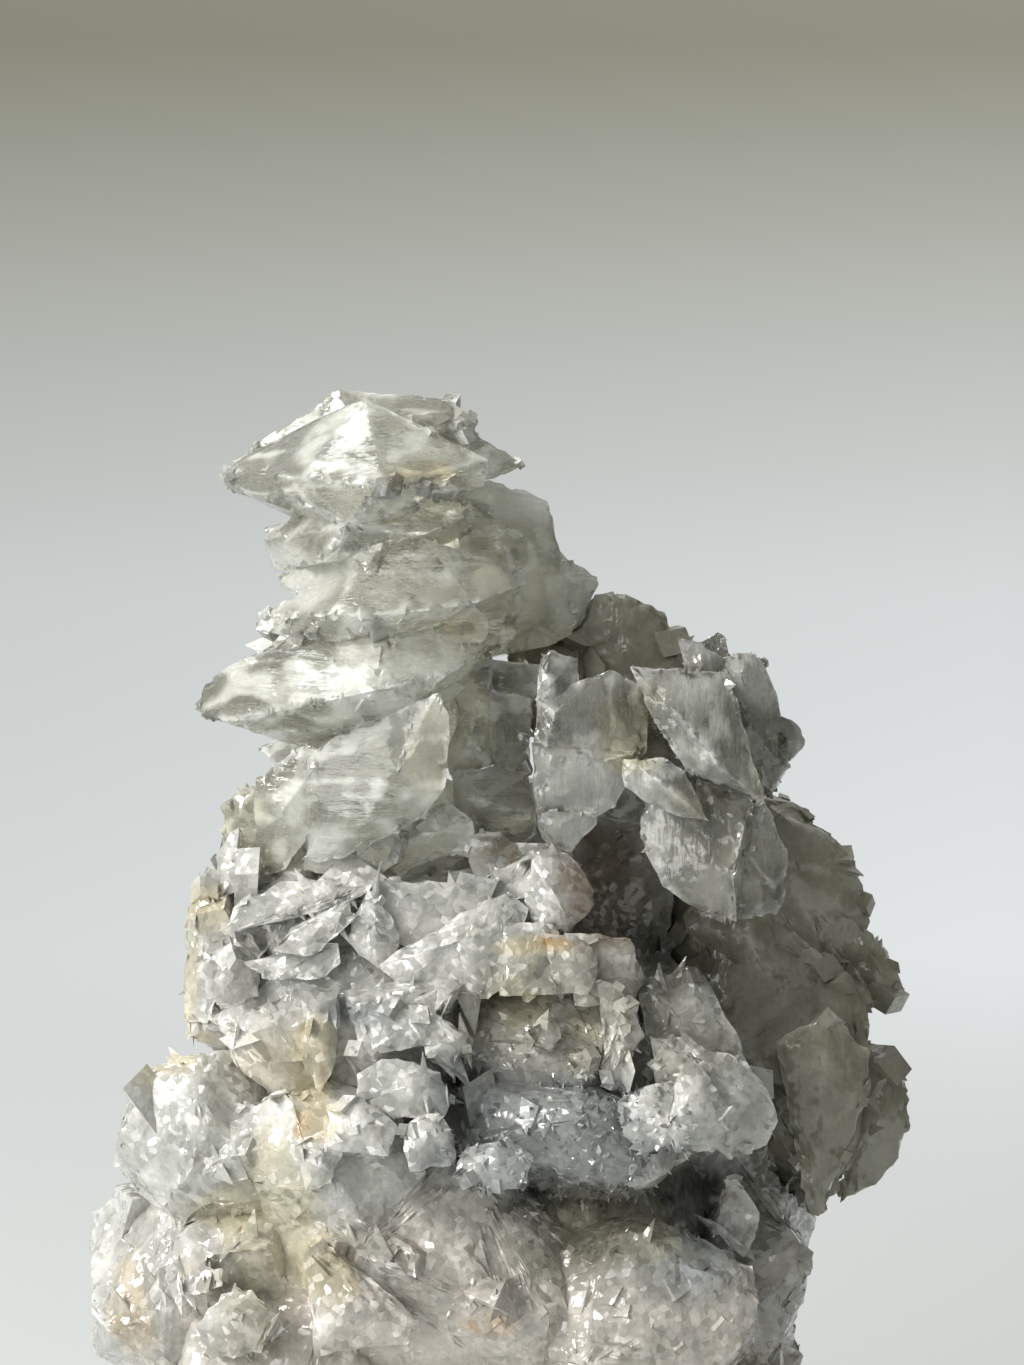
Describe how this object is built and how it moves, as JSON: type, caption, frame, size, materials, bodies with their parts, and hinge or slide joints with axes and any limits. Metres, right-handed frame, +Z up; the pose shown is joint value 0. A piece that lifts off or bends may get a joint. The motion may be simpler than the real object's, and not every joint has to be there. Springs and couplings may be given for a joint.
{
  "type": "mineral specimen",
  "caption": "Hand specimen of pagoda calcite: a leaning tower of stacked flat crystals on a rough white crystalline matrix.",
  "frame": {"origin": "under the middle of the bounding box, on the flat base", "axes": "+Z up along the tower, -Y towards the viewer of the front, +X to that viewer's right"},
  "size_m": [0.0668, 0.0434, 0.0921],
  "materials": {
    "massive_calcite": "broken, sugary white calcite with blue-grey druse and beige stains",
    "clear_calcite": "translucent grey-white crystal with bright chipped rims",
    "grey_calcite": "translucent grey crystal, partly frosted",
    "smoky_calcite": "smooth olive-grey crystal"
  },
  "bodies": {
    "root": {"matrix": "massive_calcite", "pagoda_tower": "clear_calcite", "shoulder_cluster": "grey_calcite", "rear_crystals": "smoky_calcite"}
  },
  "joints": []
}
